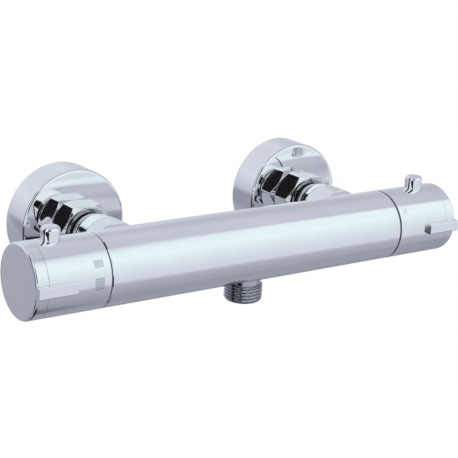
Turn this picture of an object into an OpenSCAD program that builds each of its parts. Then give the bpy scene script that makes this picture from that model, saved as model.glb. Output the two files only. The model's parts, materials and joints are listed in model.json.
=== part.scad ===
// Thermostatic bar valve for a shower, with two wall unions, a temperature knob and a flow knob.
// Origin: on the wall plane, midway between the two wall threads.
// +X runs along the bar, +Y into the wall, +Z up.
// The temperature knob is on the +X end, the flow knob on the -X end. Hot water enters at -X.

/* [Bar] */
// Outer diameter of the bar and of both knobs
bar_d = 39.5; // [39:0.25:43]
// Centre distance of the two inlets
inlet_pitch = 150; // [144:1:154]
// Distance from an inlet axis to the end of the bar
end_margin = 20; // [19:0.5:25]
// Height of the inlet axes above the axis of the bar
inlet_rise = 6; // [5:0.5:6.5]
// Distance from the axis of the bar to the wall
wall_gap = 74; // [73:0.5:90]
// Wall of the bar round the pocket in each end
pocket_wall = 2.75; // [2.5:0.05:3]
// Chamfer on the edges of the bar at the two knobs
bar_edge = 0.4; // [0.2:0.1:0.8]

/* [Outlet] */
// Major diameter of the half inch pipe thread
half_thread_d = 20.955; // [20.9:0.005:21]
// How far the outlet nipple stands out below the bar
outlet_len = 10.5; // [9:0.5:16]
// Height of the plain undercut above the outlet thread
outlet_neck_h = 1.8; // [1:0.2:3]
// Diameter of the plain undercut above the outlet thread
outlet_neck_d = 18.2; // [17.6:0.2:18.6]
// Width across flats of the hexagon socket in the nipple
outlet_key_af = 12; // [10:0.5:13]

/* [Inlets] */
// Diameter of each inlet boss where it leaves the bar
boss_d = 27.2; // [26.8:0.2:28]
// Diameter of each inlet boss at its end
boss_end_d = 25; // [24:0.2:26]
// Distance from the axis of the bar to the end of a boss
boss_reach = 33; // [32.5:0.5:34]
// Distance from the end of a boss to the front of its union nut
nut_gap = 7; // [6.75:0.25:8]
// Width across flats of the union nuts
nut_af = 29; // [28.5:0.5:31]
// Length of a union nut
nut_len = 14.2; // [13.8:0.1:15]
// Angle at which each union nut was left after tightening, left and right
nut_turns = [0, 8];
// Major diameter of the three-quarter inch union thread
union_thread_d = 26.441; // [26.4:0.001:26.5]
// Height of the nut axes above the wall thread axes
union_offset = 8; // [5:0.5:9]
// Length of the wall thread behind the wall plane
wall_thread_len = 15; // [12:1:20]

/* [Escutcheons] */
// Outer diameter of an escutcheon
escutcheon_d = 62; // [60:0.5:66]
// Gap between the back of a union nut and the face of its escutcheon
plate_clear = 0.35; // [0.3:0.05:0.6]
// Sheet thickness of an escutcheon
escutcheon_wall = 1.5; // [1.2:0.1:1.6]
// Radius of the rounded front edge
escutcheon_edge = 1; // [0.6:0.1:1.2]

/* [Knobs] */
// Length of a knob from its seam with the bar to its end face
knob_len = 42.5; // [42:0.25:44]
// Length of the end cap
cap_len = 6.8; // [6:0.2:7]
// Radius of the rounded edge of the end cap
cap_edge = 1.5; // [1:0.1:1.8]
// Wall thickness of a knob shell
knob_wall = 2.55; // [2.3:0.05:2.6]
// Gap between the bar and a knob
seam_gap = 0.85; // [0.6:0.05:0.9]
// Length of the grip fin
fin_len = 21.5; // [20:0.5:22]
// Height of the grip fin
fin_h = 6; // [5:0.2:8]
// How far the fin stands out of the knob
fin_out = 2.6; // [2:0.1:3.5]
// Diameter of the stop button
button_d = 10; // [8.8:0.2:10]
// Height of the stop button above the knob
button_h = 6.9; // [5.5:0.1:8]
// Radius of the rounded top edge of the button
button_edge = 2.2; // [1:0.1:2.6]
// Travel of the stop button
button_travel = 2.5; // [2:0.1:2.6]
// Distance from the seam of the knob to the centre of the button
button_pos = 25; // [24.5:0.25:25.25]

/* [Thermostat] */
// Wall of the cartridge housing between its seals
sleeve_wall = 1.6; // [1.4:0.1:1.7]
// Wall of the mixing shuttle
shuttle_wall = 1.52; // [1.4:0.02:1.6]
// Travel of the thermostat for one turn of the temperature knob
thermo_pitch = 2; // [1:0.1:2.2]
// Angle from the rest position to the hot stop
hot_travel = 40; // [20:5:60]
// Angle from the rest position to the cold stop
cold_travel = 160; // [120:5:180]

/* [Flow] */
// Angle from closed to fully open
flow_travel = 90; // [80:5:90]
// Wall of the headwork round the ceramic discs
headwork_wall = 1.62; // [1.5:0.02:1.8]
// Thickness of a ceramic disc
disc_t = 2.6; // [2.2:0.1:2.8]
// Travel of a check valve poppet
poppet_travel = 3; // [2:0.1:3.2]

/* [Hidden] */
$fn = 72;
// Overrun of every cut
cut = 1;
// Radial clearance between parts that turn or slide in each other
run_gap = 0.08;
// Clearance between parts of one assembly that sit still
seat_gap = 0.05;

bar_r = bar_d / 2;
body_half = inlet_pitch / 2 + end_margin;
bar_z = union_offset - inlet_rise;
half_thread_r = half_thread_d / 2;
union_thread_r = union_thread_d / 2;

// Bores in the two ends of the bar
pocket_r = bar_r - pocket_wall;
pocket_depth = 7;
pocket_z = body_half - pocket_depth;
thermo_step = 2.5;
thermo_bore_r = pocket_r - thermo_step;
thermo_bore_len = 31;
nose_step = 4;
nose_bore_r = thermo_bore_r - nose_step;
nose_bore_len = 10;
flow_step = 6.5;
flow_bore_r = pocket_r - flow_step;
flow_bore_len = 26;
flow_bore_end = pocket_z - flow_bore_len;
bore_end = pocket_z - thermo_bore_len;
nose_end = bore_end - nose_bore_len;

// Water channels of the bar
channel_r = 3.5;
mixed_share = 0.476;
mixed_r = mixed_share * nose_bore_r;
inlet_bore_r = 5;
hot_channel_step = 1;
hot_channel_y = thermo_bore_r - hot_channel_step;
hot_reach = 1.5;
hot_bore_end = hot_channel_y - hot_reach;
cold_reach = 5.5;
cold_bore_end = thermo_bore_r - cold_reach;
outlet_channel_step = 1;
outlet_channel_drop = flow_bore_r + outlet_channel_step;

// Outlet port and nipple
port_overlap = 1;
outlet_port_top = port_overlap + channel_r - outlet_channel_drop;
port_step = 0.35;
outlet_port_r = outlet_neck_d / 2 + port_step;
outlet_seat = 5.75;
outlet_shank_top = outlet_seat - bar_r;
outlet_shank_end = -sqrt(pow(bar_r, 2) - pow(outlet_port_r, 2));
outlet_bore_r = 5.2;
outlet_key_depth = 7;
outlet_lead = 0.8;

// Boss and tail piece of each inlet, measured from the axis of the bar towards the wall
boss_root_depth = 7.75;
boss_root = bar_r - boss_root_depth;
boss_edge = 1.6;
nut_front = boss_reach + nut_gap;
nut_back = nut_front + nut_len;
tail_socket_wall = 2.5;
tail_socket_r = boss_end_d / 2 - tail_socket_wall;
tail_socket_depth = 9;
tail_flange_gap = 0.32;
tail_flange_r = union_thread_r - tail_flange_gap;
tail_flange_t = 1.8;
tail_shoulder = 1.5;
tail_collar_r = tail_flange_r - tail_shoulder;
tail_groove_depth = 1;
tail_groove_r = tail_collar_r - tail_groove_depth;
tail_groove_w = 1.6;
tail_bore_r = 8;
tail_bore_len = 14.3;
nut_lip = 2.5;
nut_face_inset = 0.3;
nut_chamfer_w = 2.8;
nut_chamfer_h = 2.2;
nut_mouth = 1.6;
washer_t = 2;
washer_step = 0.6;
washer_bore_r = tail_bore_r + washer_step;
strainer_t = 0.6;
strainer_hole_r = 0.75;
strainer_rings = [6, 12];
strainer_pitch = 3;
tail_end = nut_front + nut_lip + tail_flange_t + 2 * seat_gap;
washer_end = tail_end + washer_t;

// Eccentric union behind the nut
union_thread_len = 14;
union_front_bore_r = 8.5;
union_rear_bore_r = 7.5;
union_body_step = 0.6;
union_body_r = union_thread_r - union_body_step;
union_rear_step = 1.1;
union_rear_r = half_thread_r + union_rear_step;
union_body_len = 7;
union_lead = 1;
union_body_front = washer_end + union_thread_len;
union_body_back = union_body_front + union_body_len;

// Escutcheon
escutcheon_r = escutcheon_d / 2;
escutcheon_front = nut_back + plate_clear;
plate_gap = 0.12;
escutcheon_hole_r = union_thread_r + plate_gap;
escutcheon_collar_r = escutcheon_hole_r + escutcheon_wall;
collar_end_gap = 0.4;
escutcheon_collar_end = union_body_front - collar_end_gap;

// Check valve in the tail piece
check_r = tail_bore_r - seat_gap;
check_wall = 1.15;
check_bore_r = check_r - check_wall;
check_seat_t = 1.8;
check_seat_r = 4.6;
check_spider_t = 1.8;
check_hole_r = 1.5;
check_hole_ring_r = 4.4;
check_holes = 6;
poppet_side_gap = 1;
poppet_r = check_bore_r - poppet_side_gap;
poppet_t = 1.7;
poppet_nose_gap = 0.3;
poppet_nose_r = check_seat_r - poppet_nose_gap;
poppet_nose_h = 1.2;
poppet_stem_r = 1.2;
poppet_stem_len = 8.1;
check_wire = 0.5;
check_spring_r = 2.6;
check_turns = 5;
check_spring_room = 4;
check_len = check_spider_t + check_spring_room + poppet_travel + poppet_t + check_seat_t;
check_front_gap = 0.2;
check_front = tail_end - tail_bore_len + check_front_gap;
check_back = check_front + check_len;
poppet_face = check_back - check_seat_t - run_gap;

// Knob parts, measured outward from the centre of the bar
knob_front = body_half + seam_gap;
knob_end = body_half + knob_len;
cap_front = knob_end - cap_len;
cap_seam = 0.12;
shell_bore_r = bar_r - knob_wall;
slide_ring_inset = 0.3;
slide_ring_r = bar_r - slide_ring_inset;
head_out = 13;
head_end = body_half + head_out;
head_inset = 4.2;
head_r = shell_bore_r - head_inset;
head_step_out = 3.6;
head_step = body_half + head_step_out;
head_top_step = 2;
head_top_r = head_r - head_top_step;
flange_gap = 0.2;
flange_r = pocket_r - flange_gap;
flange_t = 3;
gland_r = pocket_r - seat_gap;
gland_bore_r = head_r + seat_gap;
gland_notch_w = 3;
gland_notch_depth = 1.5;
gland_notches = 4;
stop_out = 0.5;
stop_z = body_half + stop_out;
stop_t = 3;
stop_ring_gap = 1.6;
stop_ring_r = shell_bore_r - stop_ring_gap;
stop_lug_gap = 0.6;
stop_lug_r = shell_bore_r - stop_lug_gap;
stop_steps = 4;
rib_arc = 8;
rib_margin = 1.5;
rib_h = 1.3;
rib_r = shell_bore_r - rib_h;
rib_len = 4.5;
rib_angle = 90;
shoulder_t = 2;
web_t = 3;
web_out = 14.5;
web_z = body_half + web_out;
hub_step = 4;
hub_r = head_r - hub_step;
hub_len = 16.5;
hub_end = web_z + hub_len;
hub_top_wall = 2.5;
web_slot_w = 5;
spigot_r = shell_bore_r - seat_gap;
spigot_wall = 2;
spigot_bore_r = spigot_r - spigot_wall;
spigot_len = 3.6;
cap_plate = 2.4;
fin_floor_depth = 1.55;
fin_floor_r = bar_r - fin_floor_depth;
fin_edge = 0.6;

// Button, measured up from the axis of the bar
button_r = button_d / 2;
button_axis = body_half + button_pos;
button_top = bar_r + button_h;
button_foot_step = 1.5;
button_foot_r = button_r + button_foot_step;
button_foot_gap = 0.25;
button_foot_top_r = shell_bore_r - button_foot_gap;
button_foot_room = 1.9;
button_foot_z = hub_r + button_travel + button_foot_room;
button_wall = 0.8;
button_pocket_r = button_r - button_wall;
button_roof = 1.75;
button_pocket_top = bar_r - button_roof;
button_spring_gap = 0.9;
button_spring_r = button_pocket_r - button_spring_gap;
button_wire = 0.6;
button_turns = 5.5;
spring_pad_depth = 0.5;
spring_pad_z = hub_r - spring_pad_depth;
spring_pad_r = 4;
tongue_w = 4;
tongue_t = 1.2;
tongue_lift = 0.7;
tongue_z = button_foot_z + tongue_lift;
tongue_out = 5.3;
tongue_end = body_half + tongue_out;

// Housing of the thermostat cartridge, measured outward from the centre of the bar
nose_gap = 0.2;
nose_r = nose_bore_r - nose_gap;
nose_end_gap = 0.8;
nose_front = nose_end + nose_end_gap;
nose_plate = 2;
nose_flange_t = 1.2;
collar_gap = 0.2;
collar_r = thermo_bore_r - collar_gap;
collar_step = 1.7;
sleeve_r = collar_r - collar_step;
sleeve_bore_r = sleeve_r - sleeve_wall;
sleeve_front = bore_end + nose_flange_t;
sleeve_top = 2;
hot_seat_h = 1.8;
hot_seat = sleeve_front + hot_seat_h;
mid_collar_in = 7.8;
mid_collar_z = sleeve_front + mid_collar_in;
rear_collar_in = 23.3;
rear_collar_z = sleeve_front + rear_collar_in;
collar_w = 4;
oring_r = 1;
oring_groove = 2.3;
oring_depth = 2.05;
small_oring_r = 0.75;
small_oring_depth = 1.5;
nose_oring_in = 5;
nose_oring_z = nose_front + nose_oring_in;
carrier_step = 2.5;
carrier_bore_r = sleeve_bore_r - carrier_step;

// Mixing shuttle, which stands between the hot seat and the cold seat
shuttle_spare = 0.3;
cold_spare = 0.8;
hot_gap = thermo_pitch * cold_travel / 360 + shuttle_spare;
cold_gap = thermo_pitch * hot_travel / 360 + cold_spare;
shuttle_len = 16.2;
shuttle_front = hot_seat + hot_gap;
cold_seat = shuttle_front + shuttle_len + cold_gap;
shuttle_r = sleeve_bore_r - run_gap;
shuttle_bore_r = shuttle_r - shuttle_wall;
shuttle_web_in = 4.8;
shuttle_web_z = shuttle_front + shuttle_web_in;
shuttle_web_t = 3;
shuttle_hub_in = 2.8;
shuttle_hub_z = shuttle_front + shuttle_hub_in;
shuttle_hub_len = 8;
shuttle_hub_wall = 2;
window_r = 1.6;
windows = 8;
window_in = 1.8;
hot_window_z = hot_seat + window_in;
cold_window_z = cold_seat - window_in;

// Wax element, its radii as shares of the bore it stands in and of its own body
element_share = 0.532;
element_r = element_share * shuttle_bore_r;
shuttle_hub_r = element_r + shuttle_hub_wall;
shuttle_holes = 6;
shuttle_hole_share = 0.4;
shuttle_hole_r = shuttle_hole_share * (shuttle_bore_r - shuttle_hub_r);
element_inset = 2;
element_front = hot_seat - element_inset;
element_tail = 2;
element_back = shuttle_hub_z + shuttle_hub_len + element_tail;
element_flange_step = 1.4;
element_flange_r = element_r + element_flange_step;
element_flange_t = 2;
bulb_share = 0.8;
bulb_r = bulb_share * element_r;
bulb_len = 7.2;
guide_share = 0.6;
guide_r = guide_share * element_r;
guide_len = 6;
piston_share = 0.3;
piston_r = piston_share * element_r;
piston_inset = 4;
return_wire = 1;
return_r = (element_r + shuttle_hub_r) / 2;
return_turns = 6;
nose_spring_gap = 0.9;
nose_spring_bore_r = return_r + return_wire / 2 + nose_spring_gap;

// Regulating nut, overload cup and spindle, their radii as shares of the bore they stand in
carrier_r = carrier_bore_r - run_gap;
carrier_in = 6.6;
carrier_front = cold_seat + carrier_in;
carrier_len = 18.5;
carrier_cup_share = 0.73;
carrier_cup_r = carrier_cup_share * carrier_bore_r;
carrier_cup_depth = 12;
carrier_wall = 1.5;
carrier_thread_share = 0.653;
carrier_thread_r = carrier_thread_share * carrier_bore_r;
key_w = 2;
key_out = 0.9;
spindle_thread_r = carrier_thread_r - run_gap;
spindle_thread_in = 14.5;
spindle_thread_z = carrier_front + spindle_thread_in;
spindle_flange_in = 19.2;
spindle_flange_z = carrier_front + spindle_flange_in;
spindle_flange_t = 1.6;
spindle_flange_step = 0.9;
spindle_flange_r = carrier_r - spindle_flange_step;
spindle_share = 0.588;
spindle_r = spindle_share * carrier_bore_r;
cup_gap = 0.1;
cup_r = carrier_cup_r - cup_gap;
cup_in = 1;
cup_z = carrier_front + cup_in;
cup_t = 2;
cup_stem_share = 0.33;
cup_stem_r = cup_stem_share * cup_r;
cup_stem_len = 5.5;
overload_wire = 1.2;
overload_r = (cup_r + cup_stem_r) / 2;
overload_turns = 5;

// Splined ends of both spindles and the screws in them
spline_step = 0.5;
spline_r = spindle_r - spline_step;
spline_bore_r = spline_r + seat_gap;
spline_len = 10.5;
spline_end = web_z + spline_len;
spline_lead = 1;
spline_teeth = 12;
spline_tooth_r = 0.45;
screw_r = 2;
screw_head_r = 3.8;
screw_head_gap = 0.2;
screw_socket_af = 2.5;
screw_socket_depth = 1.8;
screw_len = 11;

// Flow cartridge, measured outward from the centre of the bar
flow_seal_t = 2.2;
headwork_gap = 0.1;
headwork_r = flow_bore_r - headwork_gap;
disc_bore_r = headwork_r - headwork_wall;
disc_r = disc_bore_r - run_gap;
flow_seal_lip = 1.7;
flow_seal_hole_r = disc_r - flow_seal_lip;
fixed_disc_z = flow_bore_end + flow_seal_t;
moving_disc_z = fixed_disc_z + disc_t;
disc_hole_share = 0.276;
disc_hole_in = disc_hole_share * disc_r;
disc_rim = 1.6;
disc_hole_out = disc_r - disc_rim;
disc_hole_arc = 76;
fork_z = moving_disc_z + disc_t;
fork_t = 3;
fork_lug = 1.4;
fork_lug_w = 3;
fork_lug_r = 2;
fork_bar_w = 4.4;
headwork_in = 1.5;
headwork_front = flow_bore_end + headwork_in;
headwork_room = 7;
headwork_chamber_end = fork_z + headwork_room;
headwork_window_r = 2.2;
headwork_windows = 4;
headwork_window_in = 1;
headwork_window_z = fork_z + fork_t + headwork_window_in;
headwork_ring_depth = 0.8;
headwork_ring_w = 6;
headwork_groove_in = 5;
headwork_groove_z = pocket_z - headwork_groove_in;

// Names of all parts

// Places a child whose Z axis is the axis of the bar, measured outward from its centre
module at_end(side) {
  translate([0, -wall_gap, bar_z])
    if (side < 0) mirror([1, 0, 0]) rotate([0, 90, 0]) children();
    else rotate([0, 90, 0]) children();
}

// Places a child whose Z axis is an inlet axis, measured from the bar towards the wall
module at_inlet(side) {
  translate([side * inlet_pitch / 2, -wall_gap, union_offset]) rotate([-90, 0, 0]) children();
}

// Plain round stretch from z0 to z1
module rod(r, z0, z1) {
  translate([0, 0, z0]) cylinder(r = r, h = z1 - z0);
}

// Round stretch with a hole
module tube(r, hole, z0, z1) {
  difference() {
    rod(r, z0, z1);
    rod(hole, z0 - cut, z1 + cut);
  }
}

// Half outline of a round stretch whose far edge is rounded
module rounded_outline(r, z0, z1, edge) {
  translate([0, z0]) square([r - edge, z1 - z0]);
  translate([0, z0]) square([r, z1 - z0 - edge]);
  translate([r - edge, z1 - edge]) circle(edge);
}

// Ring sector from angle a0 over the given arc
module sector(r, hole, z0, z1, a0, arc) {
  translate([0, 0, z0]) rotate([0, 0, a0]) rotate_extrude(angle = arc)
    translate([hole, 0]) square([r - hole, z1 - z0]);
}

// Copies a child evenly round the axis
module around(count, a0 = 0) {
  for (i = [0 : count - 1]) rotate([0, 0, a0 + i * 360 / count]) children();
}

// Ring cut for a seal
module groove(r, depth, z, w) {
  tube(r + cut, r - depth, z - w / 2, z + w / 2);
}

// Round seal of wire radius wire, lying in a groove
module seal_ring(r, wire, z) {
  translate([0, 0, z]) rotate_extrude() translate([r, 0]) circle(wire);
}

// Coil of round wire, one closed tube from z0 to z1
module coil(r, wire, turns, z0, z1) {
  sides = 6;
  steps = ceil(turns * 8);
  rise = (z1 - z0 - wire) / turns;
  slope = atan(rise / (2 * PI * r));
  points = [
    for (i = [0 : steps])
      let (a = i / steps * turns * 360, z = z0 + wire / 2 + i / steps * turns * rise)
        for (k = [0 : sides - 1])
          let (b = k * 360 / sides, out = wire / 2 * cos(b), up = wire / 2 * sin(b))
            [
              (r + out) * cos(a) + up * sin(slope) * sin(a),
              (r + out) * sin(a) - up * sin(slope) * cos(a),
              z + up * cos(slope),
            ]
  ];
  sleeve = [
    for (i = [0 : steps - 1], k = [0 : sides - 1])
      let (n = (k + 1) % sides, p = i * sides, q = p + sides)
        each [[p + k, p + n, q + n], [p + k, q + n, q + k]]
  ];
  first = [for (k = [1 : sides - 2]) [0, k + 1, k]];
  last = [for (k = [1 : sides - 2]) [steps * sides, steps * sides + k, steps * sides + k + 1]];
  polyhedron(points = points, faces = [for (f = concat(sleeve, first, last)) [f[0], f[2], f[1]]]);
}

// Bar with its end pockets, cartridge bores, water channels and inlet bosses
module boss_outline() {
  taper = (boss_d - boss_end_d) / 2;
  polygon([
    [0, boss_root], [boss_d / 2, boss_root], [boss_d / 2, bar_r + boss_edge],
    [boss_end_d / 2 + taper / 4, boss_reach - boss_edge], [boss_end_d / 2 - boss_edge / 2, boss_reach],
    [0, boss_reach],
  ]);
}

module bar_solid() {
  at_end(1) rotate_extrude() polygon([
    [0, -body_half], [bar_r - bar_edge, -body_half], [bar_r, bar_edge - body_half],
    [bar_r, body_half - bar_edge], [bar_r - bar_edge, body_half], [0, body_half],
  ]);
  for (side = [-1, 1]) at_inlet(side) rotate_extrude() boss_outline();
}

module bar_bores() {
  for (side = [-1, 1]) {
    at_end(side) rod(pocket_r, pocket_z, body_half + cut);
    at_inlet(side) rod(tail_socket_r, boss_reach - tail_socket_depth, boss_reach + cut);
    at_inlet(side) rod(inlet_bore_r, side < 0 ? hot_bore_end : cold_bore_end, boss_reach);
  }
  at_end(1) rod(thermo_bore_r, bore_end, body_half);
  at_end(1) rod(nose_bore_r, nose_end, body_half);
  at_end(-1) rod(flow_bore_r, flow_bore_end, body_half);
  at_end(1) rod(mixed_r, -flow_bore_end - cut, nose_end + cut);
  at_end(1) translate([-inlet_rise, hot_channel_y, 0]) rod(channel_r, -inlet_pitch / 2, hot_window_z);
  at_end(-1) translate([outlet_channel_drop, 0, 0]) rod(channel_r, 0, fork_z + fork_t);
  translate([0, -wall_gap, bar_z]) rod(outlet_port_r, -bar_r - cut, outlet_port_top);
}

module bar_body() color("gainsboro") difference() {
  bar_solid();
  bar_bores();
}

// Threaded nipple that the shower hose screws on
module outlet_nipple() color("silver") translate([0, -wall_gap, bar_z]) {
  end = -bar_r - outlet_len;
  thread_top = -bar_r - outlet_neck_h;
  difference() {
    union() {
      rod(outlet_port_r - seat_gap, outlet_shank_end, outlet_shank_top);
      rod(outlet_neck_d / 2, thread_top, outlet_shank_top);
      rod(half_thread_r, end + outlet_lead, thread_top);
      translate([0, 0, end])
        cylinder(r1 = half_thread_r - outlet_lead, r2 = half_thread_r, h = outlet_lead);
    }
    rod(outlet_bore_r, end - cut, outlet_shank_top + cut);
    translate([0, 0, end - cut]) cylinder(r = outlet_key_af / sqrt(3), h = outlet_key_depth + cut, $fn = 6);
  }
}

// Tail piece that carries the union nut on its flange and the check valve in its bore
module inlet_tail(side) color("silver") at_inlet(side) difference() {
  union() {
    rod(tail_socket_r - seat_gap, boss_reach - tail_socket_depth + seat_gap, boss_reach);
    rod(tail_groove_r, boss_reach, boss_reach + tail_groove_w);
    rod(tail_collar_r, boss_reach + tail_groove_w, tail_end);
    rod(tail_flange_r, tail_end - tail_flange_t, tail_end);
  }
  rod(tail_bore_r, tail_end - tail_bore_len, tail_end + cut);
  rod(inlet_bore_r, boss_reach - tail_socket_depth - cut, tail_end);
}

// Hexagon union nut that turns on the tail piece
module nut_blank() intersection() {
  face_r = nut_af / 2 - nut_face_inset;
  translate([0, 0, nut_front]) cylinder(r = nut_af / sqrt(3), h = nut_len, $fn = 6);
  union() {
    translate([0, 0, nut_front]) cylinder(r1 = face_r, r2 = face_r + nut_chamfer_w, h = nut_chamfer_h);
    rod(face_r + nut_chamfer_w, nut_front + nut_chamfer_h, nut_back);
  }
}

module union_nut(side) color("gainsboro") at_inlet(side)
  rotate([0, 0, side < 0 ? nut_turns[0] : nut_turns[1]])
  difference() {
    nut_blank();
    rod(tail_collar_r + run_gap, nut_front - cut, nut_back);
    rod(union_thread_r + run_gap, nut_front + nut_lip, nut_back + cut);
    translate([0, 0, nut_front - seat_gap])
      cylinder(r1 = tail_collar_r + nut_mouth + seat_gap, r2 = tail_collar_r, h = nut_mouth + seat_gap);
  }

// Fibre washer between tail piece and eccentric union
module inlet_washer(side) color("darkred") at_inlet(side)
  tube(tail_flange_r, washer_bore_r, tail_end, washer_end);

// Sieve that lies in the washer
module inlet_strainer(side) color("lightgrey") at_inlet(side) difference() {
  middle = (tail_end + washer_end) / 2;
  rod(washer_bore_r - seat_gap, middle - strainer_t / 2, middle + strainer_t / 2);
  rod(strainer_hole_r, middle - cut, middle + cut);
  for (ring = [0 : len(strainer_rings) - 1]) around(strainer_rings[ring])
    translate([(ring + 1) * strainer_pitch, 0, 0]) rod(strainer_hole_r, middle - cut, middle + cut);
}

// Eccentric union: the wall thread sits lower than the union thread
module s_union(side) color("silver") at_inlet(side) difference() {
  drop = [0, union_offset, 0];
  union() {
    translate([0, 0, washer_end])
      cylinder(r1 = union_thread_r - union_lead, r2 = union_thread_r, h = union_lead);
    rod(union_thread_r, washer_end + union_lead, union_body_front);
    rod(union_body_r, union_body_front, union_body_back);
    translate(drop) rod(union_rear_r, union_body_front, union_body_back);
    translate([-union_rear_r, 0, union_body_front]) cube([2 * union_rear_r, union_offset, union_body_len]);
    translate(drop) rod(half_thread_r, union_body_back, wall_gap + wall_thread_len);
  }
  rod(union_front_bore_r, washer_end - cut, union_body_front + union_body_len / 2);
  translate(drop)
    rod(union_rear_bore_r, union_body_front + union_body_len / 4, wall_gap + wall_thread_len + cut);
}

// Escutcheon: a flat-faced sheet cup with a collar, which covers the union and the wall hole
module escutcheon_outline() difference() {
  mirror([0, 1]) rounded_outline(escutcheon_r, -wall_gap, -escutcheon_front, escutcheon_edge);
  square([escutcheon_hole_r, wall_gap]);
  polygon([
    [escutcheon_collar_r, escutcheon_front + escutcheon_wall],
    [escutcheon_r - escutcheon_wall, escutcheon_front + escutcheon_wall],
    [escutcheon_r - escutcheon_wall, wall_gap + cut], [escutcheon_hole_r - cut, wall_gap + cut],
    [escutcheon_hole_r - cut, escutcheon_collar_end], [escutcheon_collar_r, escutcheon_collar_end],
  ]);
}

module escutcheon(side) color("gainsboro") at_inlet(side) rotate_extrude($fn = 120) escutcheon_outline();

// Non-return valve: housing, sprung poppet and spring
module check_body(side) color("ivory") at_inlet(side) difference() {
  rod(check_r, check_front, check_back);
  rod(check_bore_r, check_front + check_spider_t, check_back - check_seat_t);
  rod(check_seat_r, check_back - check_seat_t - cut, check_back + cut);
  rod(poppet_stem_r + run_gap, check_front - cut, check_front + check_spider_t + cut);
  around(check_holes) translate([check_hole_ring_r, 0, 0])
    rod(check_hole_r, check_front - cut, check_front + check_spider_t + cut);
}

module check_poppet(side) color("dimgrey") at_inlet(side) {
  rod(poppet_r, poppet_face - poppet_t, poppet_face);
  translate([0, 0, poppet_face]) cylinder(r1 = poppet_nose_r, r2 = poppet_nose_r / 2, h = poppet_nose_h);
  rod(poppet_stem_r, poppet_face - poppet_t - poppet_stem_len, poppet_face - poppet_t);
}

module check_spring(side) color("slategrey") at_inlet(side)
  coil(check_spring_r, check_wire, check_turns, check_front + check_spider_t, poppet_face - poppet_t);

// Front end of the thermostat cartridge, with the hot seat
module thermo_nose() color("ivory") at_end(1) difference() {
  union() {
    rod(nose_r, nose_front, bore_end);
    rod(sleeve_r, bore_end, sleeve_front);
    rod(sleeve_bore_r - seat_gap, sleeve_front, hot_seat);
  }
  rod(mixed_r, nose_front - cut, hot_seat);
  rod(nose_spring_bore_r, nose_front + nose_plate, hot_seat + cut);
  groove(nose_r, small_oring_depth, nose_oring_z, 2 * small_oring_r + seat_gap);
}

// Housing of the thermostat cartridge, with hot and cold windows and the head that carries the knob
module thermo_sleeve() color("darkgoldenrod") at_end(1) difference() {
  union() {
    rod(sleeve_r, sleeve_front, pocket_z);
    rod(collar_r, mid_collar_z, mid_collar_z + collar_w);
    rod(collar_r, rear_collar_z, pocket_z);
    rod(flange_r, pocket_z, pocket_z + flange_t);
    rod(head_r, pocket_z + flange_t, head_step);
    rod(head_top_r, head_step, head_end);
  }
  rod(sleeve_bore_r, sleeve_front - cut, cold_seat);
  rod(carrier_bore_r, cold_seat, head_end - sleeve_top);
  rod(spindle_r + run_gap, head_end - sleeve_top - cut, head_end + cut);
  for (a = [0, 180]) rotate([0, 0, a]) translate([0, -key_w / 2 - run_gap, cold_seat + cut])
    cube([carrier_r + key_out + 2 * run_gap, key_w + 2 * run_gap, head_end - sleeve_top - cold_seat - cut]);
  for (z = [hot_window_z, cold_window_z]) around(windows) translate([sleeve_bore_r - cut, 0, z])
    rotate([0, 90, 0]) cylinder(r = window_r, h = collar_r - sleeve_bore_r + cut, $fn = 24);
  for (z = [mid_collar_z + collar_w / 2, rear_collar_z + collar_w / 2])
    groove(collar_r, oring_depth, z, oring_groove);
}

module thermo_orings() color("black") at_end(1) {
  for (z = [mid_collar_z, rear_collar_z])
    seal_ring(thermo_bore_r - seat_gap - oring_r, oring_r, z + collar_w / 2);
  seal_ring(nose_bore_r - seat_gap - small_oring_r, small_oring_r, nose_oring_z);
}

// Spool that opens the cold gap as it closes the hot gap
module mixing_shuttle() color("peru") at_end(1) {
  back = shuttle_front + shuttle_len;
  tube(shuttle_r, shuttle_bore_r, shuttle_front, back);
  tube(shuttle_hub_r, element_r + seat_gap / 2, shuttle_hub_z, shuttle_hub_z + shuttle_hub_len);
  difference() {
    tube(shuttle_bore_r + seat_gap, shuttle_hub_r - seat_gap, shuttle_web_z, shuttle_web_z + shuttle_web_t);
    around(shuttle_holes) translate([(shuttle_bore_r + shuttle_hub_r) / 2, 0, 0])
      rod(shuttle_hole_r, shuttle_web_z - cut, shuttle_web_z + shuttle_web_t + cut, $fn = 24);
  }
}

// Wax element: bulb, body, flange and piston guide
module wax_element() color("goldenrod") at_end(1) difference() {
  union() {
    rod(element_r, element_front, element_back);
    translate([0, 0, shuttle_hub_z + shuttle_hub_len]) rod(element_flange_r, 0, element_flange_t);
    rod(bulb_r, element_front - bulb_len, element_front);
    rod(guide_r, element_back, element_back + guide_len);
  }
  translate([0, 0, element_back + guide_len]) rod(piston_r + run_gap / 2, -piston_inset - seat_gap, cut);
}

module element_piston() color("silver") at_end(1)
  rod(piston_r, element_back + guide_len - piston_inset, cup_z);

module return_spring() color("slategrey") at_end(1)
  coil(return_r, return_wire, return_turns, nose_front + nose_plate, shuttle_hub_z);

// Cup, spring and nut that let the element overrun when a gap is shut
module overload_cup() color("silver") at_end(1) {
  rod(cup_r, cup_z, cup_z + cup_t);
  rod(cup_stem_r, cup_z + cup_t, cup_z + cup_t + cup_stem_len);
}

module overload_spring() color("slategrey") at_end(1)
  coil(overload_r, overload_wire, overload_turns, cup_z + cup_t, carrier_front + carrier_cup_depth);

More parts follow.
